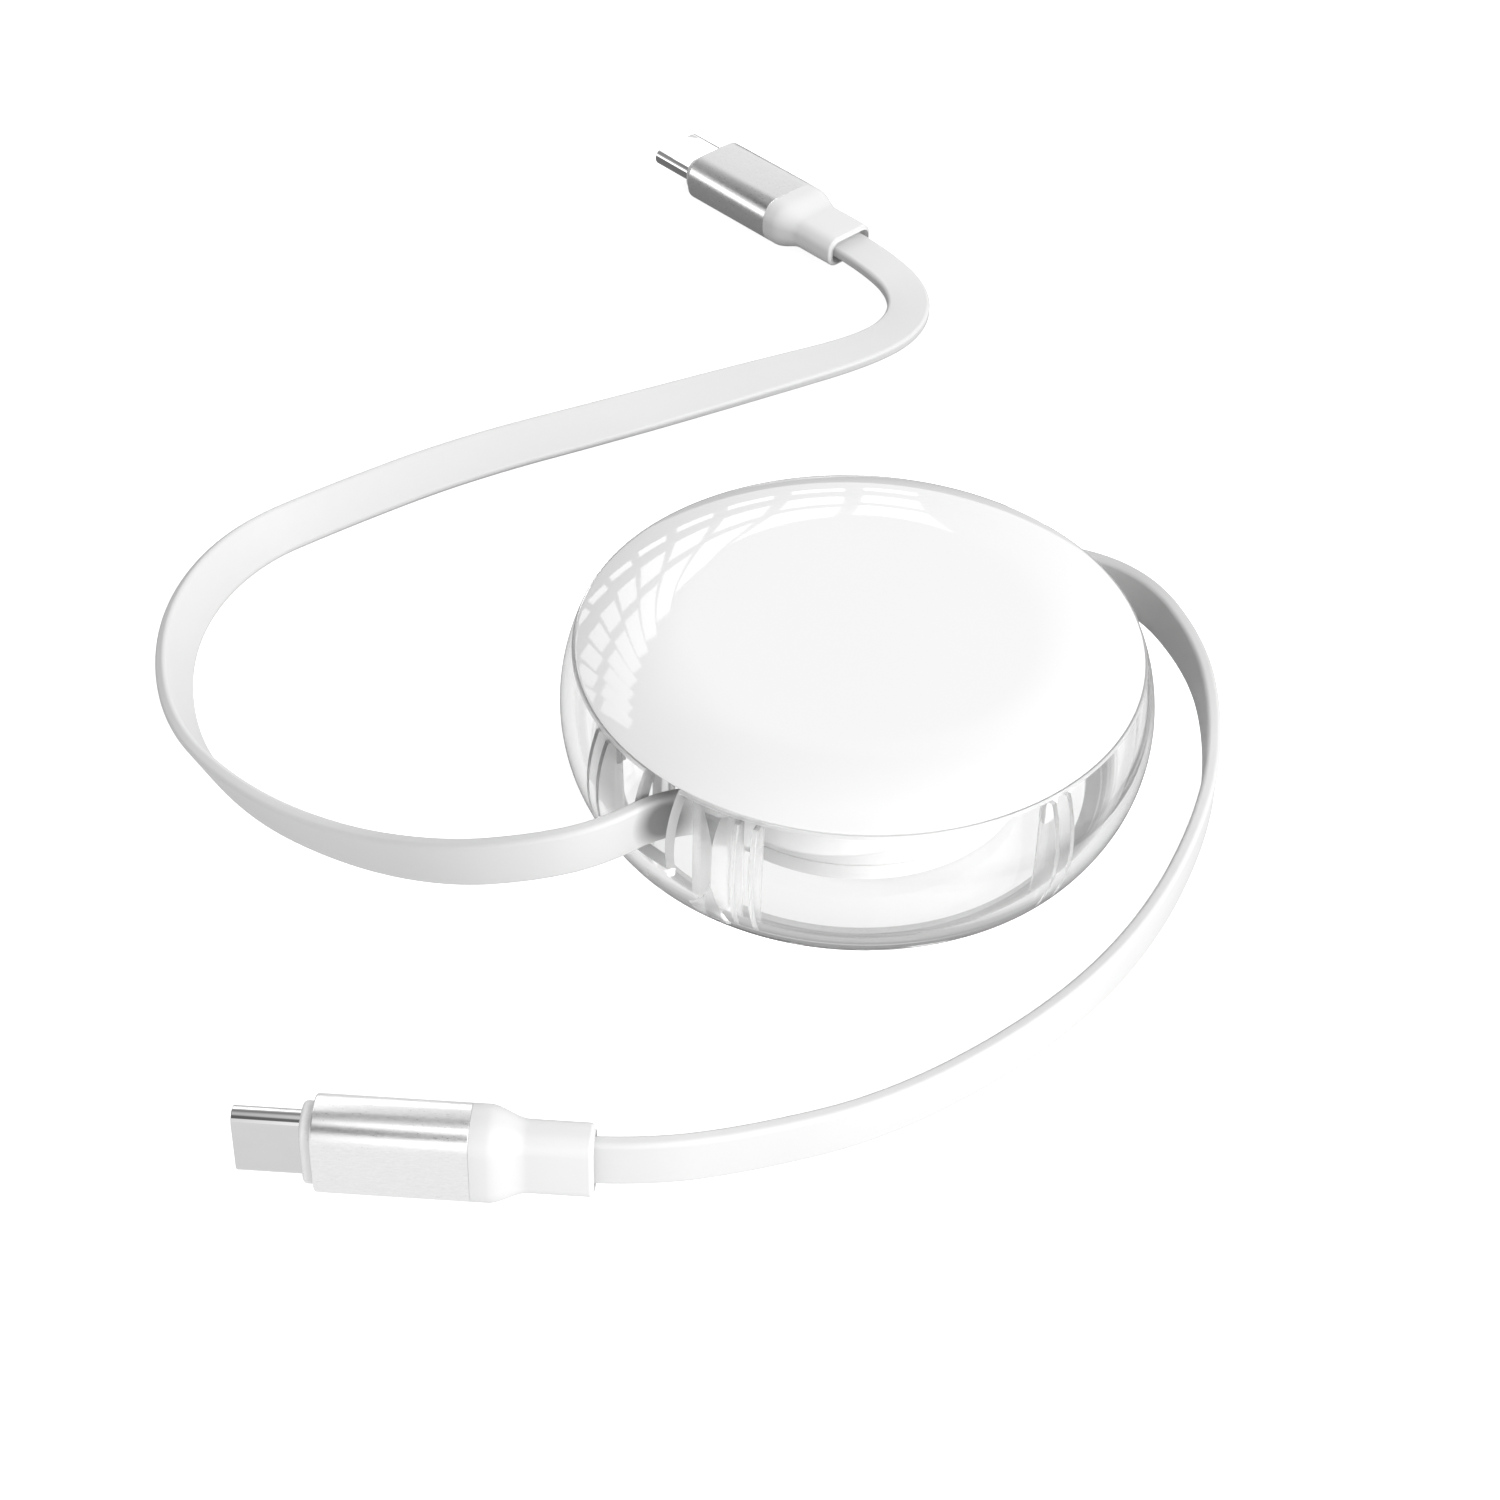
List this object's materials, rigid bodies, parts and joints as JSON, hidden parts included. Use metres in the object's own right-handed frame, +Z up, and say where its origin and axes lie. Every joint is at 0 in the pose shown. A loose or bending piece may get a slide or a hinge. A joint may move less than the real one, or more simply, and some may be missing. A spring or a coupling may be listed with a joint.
{
  "type": "retractable usb-c charging cable",
  "caption": "Clear round reel with a white top and a spring-driven spool; flat white cables leave its opposite sides and end in oval steel plugs with aluminium sleeves.",
  "frame": {"origin": "centre of the reel's flat base, on the surface it lies on", "axes": "+Z up along the spool's axis, +X to the right and +Y away as the picture shows it"},
  "size_m": [0.1232, 0.2023, 0.0222],
  "materials": {
    "clear_plastic": "clear gloss",
    "white_gloss": "gloss",
    "white_moulding": "satin",
    "cable_jacket": "satin",
    "boot_rubber": "satin",
    "brushed_aluminium": "brushed",
    "plated_steel": "polished",
    "spring_steel": "bright",
    "black_plastic": "matte",
    "gold_contacts": "plated",
    "circuit_board": "satin"
  },
  "bodies": {
    "reel": {"lower_case": "clear_plastic", "upper_case": "white_gloss", "axle_washer": "spring_steel", "axle_screw": "spring_steel", "left_cable": "cable_jacket", "right_cable": "cable_jacket", "near_plug_shell": "plated_steel", "near_contact_housing": "black_plastic", "near_contacts": "gold_contacts", "near_paddle_board": "circuit_board", "near_plug_core": "white_moulding", "near_plug_sleeve": "brushed_aluminium", "near_cable_boot": "boot_rubber", "near_cable_lead": "cable_jacket", "far_plug_shell": "plated_steel", "far_contact_housing": "black_plastic", "far_contacts": "gold_contacts", "far_paddle_board": "circuit_board", "far_plug_core": "white_moulding", "far_plug_sleeve": "brushed_aluminium", "far_cable_boot": "boot_rubber", "far_cable_lead": "cable_jacket"},
    "spool": {"spool": "white_moulding", "spool_cover": "white_moulding", "wound_cable": "cable_jacket", "power_spring": "spring_steel"},
    "latch": {"latch_ball": "spring_steel"}
  },
  "joints": [
    {"name": "spool_turn", "type": "hinge", "parent": "reel", "child": "spool", "pos_m": [0, 0, 0], "axis": [0, 0, 1], "range_deg": [-1260, 360], "deforming": ["power_spring"]},
    {"name": "latch_slide", "type": "slide", "parent": "reel", "child": "latch", "axis": [0, 1, 0], "range_m": [0, 0.0038]}
  ]
}
